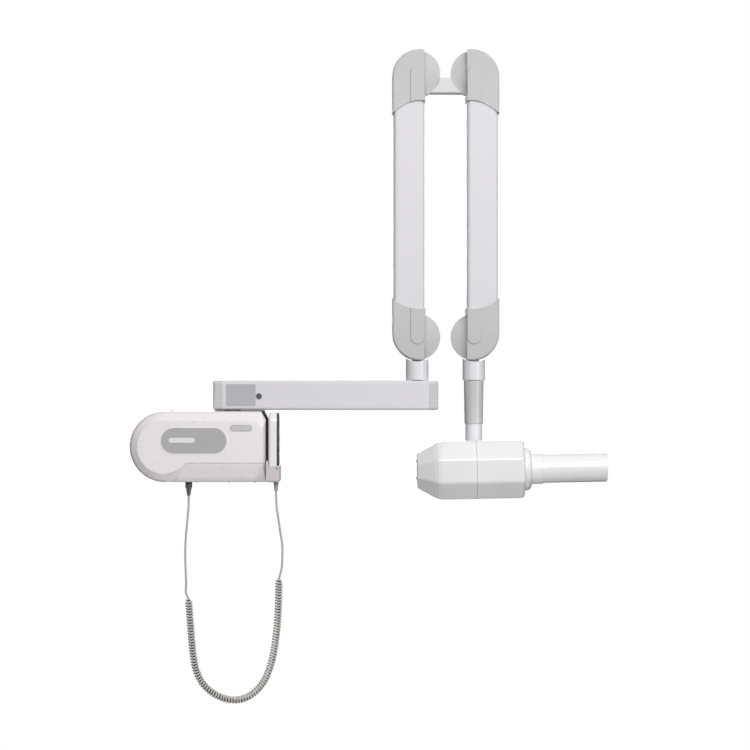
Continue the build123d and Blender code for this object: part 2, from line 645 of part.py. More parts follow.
def arm_spring():
    """Balance spring with its rod and end washers, at its rest length."""
    z0, z1 = TUBE_END + 32, 470
    body = rod_z(0, 0, 3, z0, z1)
    for z in (200, 440):
        body += rod_z(0, 0, 11.5, z, z + 4)
    return body + (rod_z(0, 0, 11, 204, 440) - rod_z(0, 0, 8, 204, 440))


def cover_half(inner_end, outer_end):
    """Front half of a hub cover; the back half is its mirror image."""
    arc_x = COVER_R - COVER_ARC_R
    start = (TUBE_IN, COVER_ARC_Z - math.sqrt(COVER_ARC_R ** 2 - (TUBE_IN - arc_x) ** 2))
    slant = math.radians(-40)
    middle = (arc_x + COVER_ARC_R * math.cos(slant), COVER_ARC_Z + COVER_ARC_R * math.sin(slant))
    arc = ThreePointArc(start, middle, (COVER_R, COVER_ARC_Z))
    side = Line((COVER_R, COVER_ARC_Z), (COVER_R, outer_end))
    end = Spline((COVER_R, outer_end), (36, outer_end - 15), (11, inner_end + 1), (TUBE_IN, inner_end))
    cut = Line((TUBE_IN, inner_end), start)
    form = toward_front(outline(arc, side, end, cut), -0.2, -COVER_FACE)
    face_edges = form.edges().group_by(Axis.Y)[0]
    rim = [e for e in face_edges if e.center().X > 20 and e.center().Z < outer_end / 2 + 5]
    form = fillet(rim, 5)
    inner = COVER_R - WALL
    form -= rod_y(arc_x, COVER_ARC_Z, COVER_ARC_R - WALL, 5, -COVER_FACE + WALL)
    form -= rod_y(0, 0, CHEEK_R + 0.8, 5, -COVER_GAP)
    form -= block(TUBE_IN - 5, inner, 5, -COVER_FACE + WALL, COVER_ARC_Z, outer_end + 10)
    form -= block(TUBE_IN - 5, 16, 5, -COVER_GAP, -COVER_R - 5, 0)
    ridge = outline(ThreePointArc((RIDGE_R, 0), (0, -RIDGE_R), (-RIDGE_R, 0)),
                    Line((-RIDGE_R, 0), (-RIDGE_R, 100)), Line((-RIDGE_R, 100), (RIDGE_R, 100)),
                    Line((RIDGE_R, 100), (RIDGE_R, 0)))
    bulge = toward_front(ridge, -COVER_FACE + 1, -COVER_FACE - 2.4)
    front_edges = [e for e in bulge.edges().group_by(Axis.Y)[0] if e.center().Z < 60]
    bulge = fillet(front_edges, 2.3)
    bulge &= toward_front(outline(arc, side, end, cut), 0, -COVER_FACE - 5)
    form += bulge
    lip = inner_end - 14
    form += block(TUBE_IN - WALL, TUBE_IN, -COVER_GAP, -COVER_FACE + 2, lip, inner_end)
    form += block(TUBE_IN - 0.1, TUBE_IN + 4, -COVER_FACE + 1, -COVER_FACE + WALL, lip, inner_end - 1)
    return form


def hub_covers(hx, hz, outward, along, inner_end, outer_end):
    half = cover_half(inner_end, outer_end)
    return [place(half, hx, hz, outward, along),
            place(mirror(half, Plane.XZ), hx, hz, outward, along)]


def level_rod(hx, crank, bearing_low):
    """Flat parallelogram rod; one end turns on its crank pin, the other clears its pin by 1 mm."""
    x = hx + crank[0]
    z0, z1 = HUB_LOW + crank[1], HUB_HIGH + crank[1]
    y0, y1 = ARM_Y + 0.3, ARM_Y + 5.7
    rod = block(x - 4.5, x + 4.5, y0, y1, z0, z1)
    rod += rod_y(x, z0, 8.5, y0, y1) + rod_y(x, z1, 8.5, y0, y1)
    low_r, high_r = (RUNNING, 1.0) if bearing_low else (1.0, RUNNING)
    rod -= rod_y(x, z0, CRANK_R + low_r, y0 - 1, y1 + 1)
    return rod - rod_y(x, z1, CRANK_R + high_r, y0 - 1, y1 + 1)


# ---- head suspension ----------------------------------------------------------------------------
def yoke_tube():
    """White tube that hangs beside the head, with the spindle above and the pivot boss below."""
    body = rod_z(HEAD_X, ARM_Y, YOKE_R, HEAD_Z - 24, 110)
    body = fillet(body.edges().group_by(Axis.Z)[0], 7)
    body += rod_z(HEAD_X, ARM_Y, SPINDLE_R, 110, 182)
    boss = rod_y(HEAD_X, HEAD_Z, 22, ARM_Y, HEAD_Y + HEAD_FLAT + 0.5)
    body += boss
    body -= rod_z(HEAD_X, ARM_Y, 9, HEAD_Z + 25, 190)
    return body - rod_y(HEAD_X, HEAD_Z, TRUNNION_R, ARM_Y + 8, HEAD_Y)


def yoke_sleeve():
    """Grey tapered sleeve under the collar."""
    sleeve = turned([(0, 51), (21, 51), (22.8, 150.4), (0, 150.4)], HEAD_X, ARM_Y)
    sleeve = fillet(sleeve.edges().group_by(Axis.Z)[0], 1.5)
    sleeve -= rod_z(HEAD_X, ARM_Y, YOKE_R + 0.05, 50, 110)
    return sleeve - rod_z(HEAD_X, ARM_Y, SPINDLE_R + 0.05, 109, 151)


def trunnion_pin():
    pin = rod_y(HEAD_X, HEAD_Z, TRUNNION_R, ARM_Y + 8, TRUNNION_IN)
    return pin + rod_y(HEAD_X, HEAD_Z, 16, TRUNNION_IN, TRUNNION_IN - 3)


# ---- tubehead -----------------------------------------------------------------------------------
def octagon(x, half_flat, round_r):
    """Octagonal section across the cone's axis, flats up and to the sides."""
    plane = Plane(origin=(x, HEAD_Y, HEAD_Z), x_dir=(0, 1, 0), z_dir=(1, 0, 0))
    face = RegularPolygon(half_flat, 8, major_radius=False, rotation=22.5)
    return plane * fillet(face.vertices(), round_r)


def head_form(inset, x_back, x_front):
    """The head's outer form, shrunk by inset: tapered back, then a straight octagon."""
    sections = [octagon(x, half_flat - inset, round_r - inset) for x, half_flat, round_r in HEAD_TAPER]
    sections[0] = octagon(HEAD_BACK + inset, HEAD_TAPER[0][1] - inset, HEAD_TAPER[0][2] - inset)
    taper = loft(sections, ruled=True)
    straight = extrude(sections[-1], amount=HEAD_FRONT - inset - HEAD_TAPER[-1][0])
    if not inset:
        straight = fillet(straight.edges().group_by(Axis.X)[-1], 9)
    whole = taper + straight
    return whole & block(x_back, x_front, HEAD_Y - 100, HEAD_Y + 100, HEAD_Z - 100, HEAD_Z + 100)


def trunnion_hole():
    return rod_y(HEAD_X, HEAD_Z, 18, HEAD_Y + HEAD_FLAT - 6, HEAD_Y + HEAD_FLAT + 1)


def head_rear_shell():
    shell = head_form(0, HEAD_BACK - 5, HEAD_SEAM) - head_form(SHEET, HEAD_BACK, HEAD_SEAM + 1)
    return shell - trunnion_hole()


def head_front_shell():
    shell = head_form(0, HEAD_SEAM + 0.6, HEAD_FRONT + 5) - head_form(SHEET, HEAD_SEAM - 1, HEAD_FRONT)
    shell -= rod_x(HEAD_Y, HEAD_Z, 38, HEAD_FRONT - 10, HEAD_FRONT + 10)
    return shell - trunnion_hole()


def turned_x(points):
    """Revolve (x, radius) points round the cone's axis."""
    face = make_face(Polyline(*[(x, HEAD_Y, HEAD_Z + r) for x, r in points], close=True))
    return revolve(face, Axis((0, HEAD_Y, HEAD_Z), (1, 0, 0)))


def head_front_ring():
    """Domed ring on the head's front."""
    ring = rod_x(HEAD_Y, HEAD_Z, RING_R, HEAD_FRONT, HEAD_FRONT + RING_LENGTH)
    ring = fillet(ring.edges().group_by(Axis.X)[-1], RING_DOME)
    return ring - rod_x(HEAD_Y, HEAD_Z, CONE_BASE_R + 0.1, HEAD_FRONT - 1, HEAD_FRONT + 20)


def cone_base():
    """Screwed base of the cone, reaching back through the ring."""
    back = HEAD_FRONT - 6
    return turned_x([(back, CONE_BORE_R), (back, CONE_BASE_R), (CONE_START - 2, CONE_BASE_R),
                     (CONE_START, CONE_BASE_R - 1.5), (CONE_START, CONE_BORE_R)])


def cone():
    """Round collimating cone, open at its mouth."""
    body = turned_x([(CONE_START, CONE_BORE_R), (CONE_START, CONE_R), (CONE_END, CONE_R),
                     (CONE_END, CONE_BORE_R)])
    return chamfer(body.edges().group_by(Axis.X)[-1], 0.8)


def lead_collimator():
    """Lead disc with the beam's aperture, behind the cone."""
    back = HEAD_FRONT - 12
    front = HEAD_FRONT - 6
    return turned_x([(back, 9), (back, 42), (front, 42), (front, 9)])


def hv_transformer():
    """High-voltage transformer and oil tank in the back of the head."""
    tank = block(459, 512, HEAD_Y - 52, HEAD_Y + 52, HEAD_Z - 40, HEAD_Z + 40)
    return fillet(tank.edges().filter_by(Axis.X), 8)


def xray_tube():
    """Glass x-ray tube lying across the beam, with its two end caps."""
    glass = rod_z(TARGET_X, HEAD_Y, 17, HEAD_Z - 32, HEAD_Z + 32)
    for side in (-1, 1):
        glass += rod_z(TARGET_X, HEAD_Y, 9, HEAD_Z + side * 32, HEAD_Z + side * 48)
    return glass


def trunnion_bearing():
    """Steel plate with the boss that turns on the trunnion."""
    y = HEAD_Y + HEAD_FLAT - SHEET
    plate = block(HEAD_X - 35, HEAD_X + 35, y, y - 5, HEAD_Z - 20, HEAD_Z + 20)
    plate += rod_y(HEAD_X, HEAD_Z, 19, y, TRUNNION_IN + 0.5)
    plate += block(512, HEAD_X - 10, y - 5, y - 25, HEAD_Z - 20, HEAD_Z + 20)
    return plate - rod_y(HEAD_X, HEAD_Z, TRUNNION_R + RUNNING, y + 5, TRUNNION_IN - 5)


def raised(solid):
    """Turn a part of the tubehead to its rest angle, about the trunnion's axis."""
    return Pos(HEAD_X, 0, HEAD_Z) * Rot(0, -HEAD_TILT, 0) * Pos(-HEAD_X, 0, -HEAD_Z) * solid


# ---- write every node ---------------------------------------------------------------------------
def main():
    os.makedirs("parts", exist_ok=True)
    save("wall_bracket", wall_bracket())
    save("bearing_housing", bearing_housing())
    save("swivel_bushes", *swivel_bushes())
    save("rear_housing", rear_housing())
    save("front_cover", front_cover())
    save("lower_cover", lower_cover())
    save("badge_panel", badge_panel())
    save("status_window", status_window())
    save("control_board", control_board())
    save("power_supply", power_supply())
    save("power_button", power_button())
    save("cord_plug", cord_plug())
    coil = tube_along(COIL, COIL_D)
    save("cord_left", tube_along(CORD_LEFT, CORD_D) - coil)
    save("cord_coil", coil)
    save("cord_right", tube_along(CORD_RIGHT, CORD_D) - coil)
    save("handset_cradle", handset_cradle())
    save("cradle_screw", cradle_screw())
    save("handset_shell", handset_shell())
    save("handset_face", handset_face())
    save("exposure_button", exposure_button())
    save("handset_gland", handset_gland())
    save("extension_tube", extension_tube())
    save("extension_caps", *extension_caps())
    save("swivel_shaft", swivel_shaft())
    save("front_bearing", front_bearing())
    save("label_plate", label_plate())
    save("round_plug", round_plug())
    save("base_neck", base_neck())
    save("base_shaft", base_shaft())
    save("base_cheeks", *cheeks(FRONT_X, HUB_LOW))
    save("bridge_bar", bridge_bar())
    save("bridge_cheeks", *cheeks(FRONT_X, HUB_HIGH), *cheeks(HEAD_X, HUB_HIGH))
    save("head_collar", head_collar())
    save("head_cheeks", *cheeks(HEAD_X, HUB_LOW))
    for arm, hx, outward, crank in (("rear", FRONT_X, -1, REAR_CRANK), ("front", HEAD_X, 1, FRONT_CRANK)):
        ends = ((HUB_LOW, 1), (HUB_HIGH, -1))
        save(f"{arm}_arm_tube", arm_tube(hx, outward))
        save(f"{arm}_forks", *[place(fork(), hx, hz, outward, along) for hz, along in ends])
        save(f"{arm}_hub_pins", *[place(hub_pin(), hx, hz, outward, along) for hz, along in ends])
        save(f"{arm}_spring", place(arm_spring(), hx, HUB_LOW, outward, 1))
        save(f"{arm}_lower_covers", *hub_covers(hx, HUB_LOW, outward, 1, 65, 89))
        save(f"{arm}_upper_covers", *hub_covers(hx, HUB_HIGH, outward, -1, 65, 93))
        save(f"{arm}_level_rod", level_rod(hx, crank, arm == "rear"))
    save("yoke_tube", yoke_tube())
    save("yoke_sleeve", yoke_sleeve())
    save("trunnion_pin", trunnion_pin())
    save("head_rear_shell", raised(head_rear_shell()))
    save("head_front_shell", raised(head_front_shell()))
    save("head_front_ring", raised(head_front_ring()))
    save("cone_base", raised(cone_base()))
    save("cone", raised(cone()))
    save("lead_collimator", raised(lead_collimator()))
    save("hv_transformer", raised(hv_transformer()))
    save("xray_tube", raised(xray_tube()))
    save("trunnion_bearing", raised(trunnion_bearing()))


main()
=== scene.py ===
import json
import math

import bmesh
import bpy
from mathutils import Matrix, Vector


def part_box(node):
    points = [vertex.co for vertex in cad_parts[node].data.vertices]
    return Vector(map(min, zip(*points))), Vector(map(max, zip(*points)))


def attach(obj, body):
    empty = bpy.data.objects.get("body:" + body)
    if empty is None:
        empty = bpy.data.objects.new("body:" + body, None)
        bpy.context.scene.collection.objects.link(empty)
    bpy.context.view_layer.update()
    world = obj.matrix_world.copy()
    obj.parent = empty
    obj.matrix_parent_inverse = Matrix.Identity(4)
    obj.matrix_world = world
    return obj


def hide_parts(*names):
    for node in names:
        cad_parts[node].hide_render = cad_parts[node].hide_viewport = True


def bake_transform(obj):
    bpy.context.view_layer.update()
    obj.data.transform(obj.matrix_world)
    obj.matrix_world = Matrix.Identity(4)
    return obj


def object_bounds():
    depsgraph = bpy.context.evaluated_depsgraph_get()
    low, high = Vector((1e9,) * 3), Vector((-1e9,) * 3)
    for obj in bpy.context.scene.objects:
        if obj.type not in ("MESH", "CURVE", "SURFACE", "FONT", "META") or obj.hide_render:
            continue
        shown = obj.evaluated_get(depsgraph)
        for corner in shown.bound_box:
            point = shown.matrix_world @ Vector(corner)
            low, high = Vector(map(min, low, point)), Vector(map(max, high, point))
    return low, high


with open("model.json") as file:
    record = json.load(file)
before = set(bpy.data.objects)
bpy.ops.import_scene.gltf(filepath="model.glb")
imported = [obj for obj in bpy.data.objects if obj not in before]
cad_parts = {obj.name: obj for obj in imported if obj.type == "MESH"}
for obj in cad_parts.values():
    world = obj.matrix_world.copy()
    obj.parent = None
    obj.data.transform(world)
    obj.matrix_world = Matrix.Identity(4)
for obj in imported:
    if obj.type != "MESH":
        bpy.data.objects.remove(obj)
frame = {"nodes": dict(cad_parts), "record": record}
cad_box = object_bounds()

# Everything is in metres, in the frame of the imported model: +X right along the wall, +Y into it, +Z up.

NODES = frame["nodes"]


# ---- camera, floor and light --------------------------------------------------------------------
ARM_PLANE_Y = -0.045
VIEW_CENTRE = Vector((0.308, ARM_PLANE_Y, 0.163))
VIEW_WIDTH = 1.725
CAMERA_DISTANCE = 4.5
FLOOR_DROP = 1.4                   # the unit hangs on a wall, so the floor is well under the cord
FLOOR_R = 1.7
FLOOR_CENTRE = (0.3, -0.1)
WORLD_LOW = 0.03                   # strength of the surrounding light from below, and from above
WORLD_HIGH = 0.34
WORLD_LEFT = 0.4                   # share of that strength on the left


def aim(obj, target):
    obj.rotation_mode = "QUATERNION"
    obj.rotation_quaternion = (target - obj.location).to_track_quat("-Z", "Y")


def make_camera():
    data = bpy.data.cameras.new("camera")
    data.sensor_width = 36.0
    data.lens = data.sensor_width * CAMERA_DISTANCE / VIEW_WIDTH
    data.clip_start = 0.05
    data.clip_end = 60.0
    cam = bpy.data.objects.new("camera", data)
    bpy.context.scene.collection.objects.link(cam)
    cam.location = VIEW_CENTRE - Vector((0, CAMERA_DISTANCE, 0))
    aim(cam, VIEW_CENTRE)
    bpy.context.scene.camera = cam


def area_light(name, place, target, size, watts, tint=(1, 1, 1)):
    data = bpy.data.lights.new(name, "AREA")
    data.shape = "RECTANGLE"
    data.size, data.size_y = size
    data.energy = watts
    data.color = tint
    lamp = bpy.data.objects.new(name, data)
    bpy.context.scene.collection.objects.link(lamp)
    lamp.location = Vector(place)
    aim(lamp, Vector(target))


def make_lights():
    middle = (0.3, -0.05, 0.15)
    area_light("key_light", (2.0, -3.0, 2.7), middle, (1.4, 1.4), 58, (1.0, 0.995, 0.99))
    area_light("front_light", (0.1, -4.7, 1.9), middle, (3.2, 2.2), 132)
    area_light("top_light", (0.3, -0.9, 3.3), middle, (2.6, 1.2), 5)
    area_light("strip_light", (3.1, -2.7, 0.3), middle, (0.6, 1.9), 20)
    area_light("left_light", (-3.2, -1.4, 1.2), middle, (1.6, 2.4), 3)
    area_light("back_light", (0.5, 3.4, 1.2), middle, (3.0, 2.0), 90)


def smooth_ramp(tree, value, start, end, low, high):
    """Goes smoothly from low to high as a value goes from start to end."""
    node = tree.nodes.new("ShaderNodeMapRange")
    node.interpolation_type = "SMOOTHSTEP"
    node.inputs["From Min"].default_value = start
    node.inputs["From Max"].default_value = end
    node.inputs["To Min"].default_value = low
    node.inputs["To Max"].default_value = high
    tree.links.new(value, node.inputs["Value"])
    return node.outputs["Result"]


def make_world():
    """White to the eye. As a light it is bright above, dim below, and weaker on the left."""
    world = bpy.data.worlds.new("studio")
    bpy.context.scene.world = world
    world.use_nodes = True
    tree = world.node_tree
    shown = tree.nodes["Background"]
    shown.inputs["Color"].default_value = (1.0, 1.0, 1.0, 1.0)
    shown.inputs["Strength"].default_value = 1.0
    lit = tree.nodes.new("ShaderNodeBackground")
    where = tree.nodes.new("ShaderNodeTexCoord")
    split = tree.nodes.new("ShaderNodeSeparateXYZ")
    tree.links.new(where.outputs["Generated"], split.inputs["Vector"])
    product = tree.nodes.new("ShaderNodeMath")
    product.operation = "MULTIPLY"
    height = smooth_ramp(tree, split.outputs["Z"], -0.5, 0.6, WORLD_LOW, WORLD_HIGH)
    across = smooth_ramp(tree, split.outputs["X"], -0.9, 0.2, WORLD_LEFT, 1.0)
    tree.links.new(height, product.inputs[0])
    tree.links.new(across, product.inputs[1])
    tree.links.new(product.outputs["Value"], lit.inputs["Strength"])
    rays = tree.nodes.new("ShaderNodeLightPath")
    pick = tree.nodes.new("ShaderNodeMixShader")
    tree.links.new(rays.outputs["Is Camera Ray"], pick.inputs["Fac"])
    tree.links.new(lit.outputs["Background"], pick.inputs[1])
    tree.links.new(shown.outputs["Background"], pick.inputs[2])
    tree.links.new(pick.outputs["Shader"], tree.nodes["World Output"].inputs["Surface"])


def make_floor():
    low = cad_box[0].z - FLOOR_DROP
    mesh = bpy.data.meshes.new("floor")
    bm = bmesh.new()
    bmesh.ops.create_circle(bm, cap_ends=True, segments=96, radius=FLOOR_R)
    bmesh.ops.translate(bm, verts=bm.verts, vec=(*FLOOR_CENTRE, low))
    bm.to_mesh(mesh)
    bm.free()
    floor = bpy.data.objects.new("floor", mesh)
    bpy.context.scene.collection.objects.link(floor)
    floor.data.materials.append(plain_floor())


# ---- materials ----------------------------------------------------------------------------------
class Shader:
    """A Principled material with its texture nodes laid out by short calls."""

    def __init__(self, name):
        self.material = bpy.data.materials.new(name)
        self.material.use_nodes = True
        self.tree = self.material.node_tree
        self.bsdf = self.tree.nodes["Principled BSDF"]
        self.where = self.add("ShaderNodeTexCoord").outputs["Object"]

    def add(self, kind, **inputs):
        node = self.tree.nodes.new(kind)
        for key, value in inputs.items():
            node.inputs[key.replace("_", " ")].default_value = value
        return node

    def link(self, out, into):
        self.tree.links.new(out, into)

    def set(self, **values):
        for key, value in values.items():
            self.bsdf.inputs[key.replace("_", " ")].default_value = value

    def noise(self, scale, detail=4.0, roughness=0.55, stretch=None):
        node = self.add("ShaderNodeTexNoise", Scale=scale, Detail=detail, Roughness=roughness)
        where = self.where
        if stretch:
            mapping = self.add("ShaderNodeMapping", Scale=stretch)
            self.link(self.where, mapping.inputs["Vector"])
            where = mapping.outputs["Vector"]
        self.link(where, node.inputs["Vector"])
        return node.outputs["Fac"]

    def spread(self, value, low, high, start=0.35, end=0.65):
        node = self.add("ShaderNodeMapRange")
        node.inputs["From Min"].default_value = start
        node.inputs["From Max"].default_value = end
        node.inputs["To Min"].default_value = low
        node.inputs["To Max"].default_value = high
        self.link(value, node.inputs["Value"])
        return node.outputs["Result"]

    def mix(self, factor, a, b):
        node = self.tree.nodes.new("ShaderNodeMix")
        node.data_type = "RGBA"
        colour_in = [s for s in node.inputs if s.type == "RGBA"]
        for socket, value in zip(colour_in, (a, b)):
            if isinstance(value, tuple):
                socket.default_value = (*value, 1.0)
            else:
                self.link(value, socket)
        self.link(factor, node.inputs["Factor"])
        return [s for s in node.outputs if s.type == "RGBA"][0]

    def above(self, axis, at, soft=0.002):
        """1 where the object coordinate on one axis is over a value, 0 below it."""
        split = self.add("ShaderNodeSeparateXYZ")
        self.link(self.where, split.inputs["Vector"])
        return self.spread(split.outputs[axis], 0.0, 1.0, at - soft, at + soft)

    def both(self, a, b):
        node = self.add("ShaderNodeMath")
        node.operation = "MULTIPLY"
        self.link(a, node.inputs[0])
        self.link(b, node.inputs[1])
        return node.outputs["Value"]

    def inside(self, centre, radius, soft=0.0003):
        """1 within a distance of a point, 0 outside it."""
        node = self.add("ShaderNodeVectorMath")
        node.operation = "DISTANCE"
        self.link(self.where, node.inputs[0])
        node.inputs[1].default_value = centre
        return self.spread(node.outputs["Value"], 1.0, 0.0, radius - soft, radius + soft)

    def open_sky(self, reach, low, high):
        """1 where the surface is open to its surroundings, 0 deep in crevices: the mask for painted shade.
        """
        node = self.add("ShaderNodeAmbientOcclusion", Distance=reach)
        node.samples = 8
        return self.spread(node.outputs["AO"], 0.0, 1.0, low, high)

    def edges(self):
        """1 on convex edges, 0 on flats and hollows."""
        node = self.add("ShaderNodeNewGeometry")
        return self.spread(node.outputs["Pointiness"], 0.0, 1.0, 0.52, 0.60)

    def colour(self, out):
        self.link(out, self.bsdf.inputs["Base Color"])

    def roughness(self, out):
        self.link(out, self.bsdf.inputs["Roughness"])

    def bump(self, heights, strength=0.3, distance=0.0002):
        """One or more height outputs, the later ones laid over the earlier."""
        normal = None
        for height in heights:
            node = self.add("ShaderNodeBump", Strength=strength, Distance=distance)
            self.link(height, node.inputs["Height"])
            if normal:
                self.link(normal, node.inputs["Normal"])
            normal = node.outputs["Normal"]
        self.link(normal, self.bsdf.inputs["Normal"])


def tone(colour, factor):
    return tuple(min(1.0, c * factor) for c in colour)


def moulded(name, colour, rough, grain=900.0, grain_depth=0.00004, tint=(1.0, 0.985, 0.975),
            coat=0.0, specular=0.5):
    """Moulded plastic: fine grain, slow drift of tone, faint ageing, paler edges, uneven sheen."""
    s = Shader(name)
    drift = s.spread(s.noise(5.0, 3.0), 0.0, 1.0, 0.2, 0.8)
    body = s.mix(drift, tone(colour, 0.995), tone(colour, 1.005))
    aged = s.spread(s.noise(2.3, 2.0), 0.0, 0.2, 0.3, 0.7)
    warm = tuple(c * t * 0.985 for c, t in zip(colour, tint))
    body = s.mix(aged, body, warm)
    s.colour(s.mix(s.edges(), body, tone(colour, 1.04)))
    s.roughness(s.spread(s.noise(90.0, 6.0), rough * 0.92, rough * 1.1, 0.25, 0.75))
    s.bump([s.noise(grain, 3.0)], 0.25, grain_depth)
    s.set(Coat_Weight=coat, Coat_Roughness=0.08, Specular_IOR_Level=specular)
    return s.material


def coated(name, colour, rough, coat=0.05, specular=0.3):
    """Powder coat: orange peel, slow drift of tone and fine darker speckle."""
    s = Shader(name)
    drift = s.spread(s.noise(4.0, 3.0), 0.0, 1.0, 0.2, 0.8)
    body = s.mix(drift, tone(colour, 0.992), tone(colour, 1.006))
    speckle = s.spread(s.noise(1400.0, 2.0), 0.0, 0.35, 0.45, 0.75)
    s.colour(s.mix(speckle, body, tone(colour, 0.9)))
    s.roughness(s.spread(s.noise(90.0, 5.0), rough * 0.92, rough * 1.1))
    s.bump([s.noise(260.0, 2.0), s.noise(1500.0, 2.0)], 0.22, 0.00006)
    s.set(Coat_Weight=coat, Coat_Roughness=0.14, Specular_IOR_Level=specular)
    return s.material


def machined(name, colour, rough, stretch=(1.0, 1.0, 60.0)):
    """Bare metal with fine turning or brushing lines and darker oiled patches."""
    s = Shader(name)
    lines = s.noise(120.0, 4.0, 0.6, stretch)
    body = s.mix(s.spread(lines, 0.0, 1.0), tone(colour, 0.82), tone(colour, 1.08))
    stain = s.spread(s.noise(14.0, 6.0), 0.0, 0.55, 0.5, 0.75)
    s.colour(s.mix(stain, body, tone(colour, 0.55)))
    s.roughness(s.spread(lines, rough * 0.7, rough * 1.35))
    s.bump([lines], 0.25, 0.00005)
    s.set(Metallic=1.0)
    return s.material


def cast(name, colour, rough):
    """Casting or pressed core with a coarse skin."""
    s = Shader(name)
    coarse = s.noise(220.0, 8.0, 0.65)
    s.colour(s.mix(s.spread(coarse, 0.0, 1.0), tone(colour, 0.8), tone(colour, 1.15)))
    s.roughness(s.spread(s.noise(30.0), rough * 0.85, min(1.0, rough * 1.2)))
    s.bump([coarse], 0.45, 0.00025)
    s.set(Metallic=0.4)
    return s.material


def rubbery(name, colour, rough):
    """Soft vinyl of a cord: faint mottle, dust in the fine grain, painted shade between the turns."""
    s = Shader(name)
    mottle = s.spread(s.noise(45.0, 5.0), 0.0, 1.0)
    body = s.mix(mottle, tone(colour, 0.93), tone(colour, 1.05))
    dust = s.spread(s.noise(700.0, 3.0), 0.0, 0.4, 0.5, 0.8)
    body = s.mix(dust, body, tone(colour, 1.18))
    # painted shade: crevices between the turns, found by ambient occlusion, take a much darker tone
    s.colour(s.mix(s.open_sky(0.012, 0.35, 0.85), tone(colour, 0.22), body))
    s.roughness(s.spread(s.noise(90.0), rough * 0.85, rough * 1.2))
    s.bump([s.noise(1100.0, 3.0)], 0.3, 0.00005)
    s.set(Sheen_Weight=0.08, Sheen_Roughness=0.5)
    return s.material


def circuit(name, colour):
    """Solder mask with a faint copper pattern under it."""
    s = Shader(name)
    tracks = s.add("ShaderNodeTexBrick", Scale=55.0)
    tracks.inputs["Mortar Size"].default_value = 0.06
    s.link(s.where, tracks.inputs["Vector"])
    s.colour(s.mix(tracks.outputs["Fac"], colour, tone(colour, 1.7)))
    s.roughness(s.spread(s.noise(60.0), 0.25, 0.4))
    s.bump([tracks.outputs["Fac"]], 0.3, 0.0001)
    return s.material


def bracket_steel(name):
    """Black powder coat; the low right edge is painted dark mauve, a painted shade standing for the white
    lower cover's side in shadow.
    """
    s = Shader(name)
    # painted shade: below this height and right of x = 0.05 the bracket takes a dark mauve, the white lower
    # cover's side in shadow
    low = s.spread(s.above("Z", -0.0325), 1.0, 0.0, 0.0, 1.0)
    shaded_cover_strip = s.both(low, s.above("X", 0.05))
    speckle = s.spread(s.noise(1400.0, 2.0), 0.0, 1.0, 0.4, 0.75)
    dark = s.mix(speckle, (0.012, 0.012, 0.014), (0.03, 0.03, 0.033))
    s.colour(s.mix(shaded_cover_strip, dark, (0.16, 0.135, 0.15)))
    s.roughness(s.spread(s.noise(30.0), 0.34, 0.5))
    s.bump([s.noise(300.0, 2.0), s.noise(1500.0, 2.0)], 0.25, 0.00006)
    return s.material


def plug_plastic(name):
    """Dark blanking plug with a pale grey rim."""
    s = Shader(name)
    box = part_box("round_plug")
    middle = ((box[0][0] + box[1][0]) / 2, box[0][1], (box[0][2] + box[1][2]) / 2)
    rings = s.inside(middle, 0.0062)
    grain = s.spread(s.noise(900.0, 3.0), 0.0, 1.0)
    s.colour(s.mix(rings, (0.42, 0.42, 0.44), s.mix(grain, (0.05, 0.05, 0.055), (0.1, 0.1, 0.105))))
    s.roughness(s.spread(s.noise(120.0), 0.3, 0.45))
    s.bump([rings, s.noise(1300.0)], 0.3, 0.0001)
    return s.material


def clear_glass(name, colour):
    """Glass with a faint uneven tint."""
    s = Shader(name)
    s.colour(s.mix(s.spread(s.noise(20.0), 0.0, 1.0), tone(colour, 0.94), colour))
    s.roughness(s.spread(s.noise(40.0), 0.03, 0.09))
    s.set(Transmission_Weight=0.85, IOR=1.5)
    return s.material


def plain_floor():
    """Pale paper under the unit."""
    s = Shader("floor_paper")
    s.colour(s.mix(s.spread(s.noise(3.0), 0.0, 1.0), (0.93, 0.93, 0.93), (0.95, 0.95, 0.95)))
    s.roughness(s.spread(s.noise(80.0), 0.7, 0.85))
    return s.material


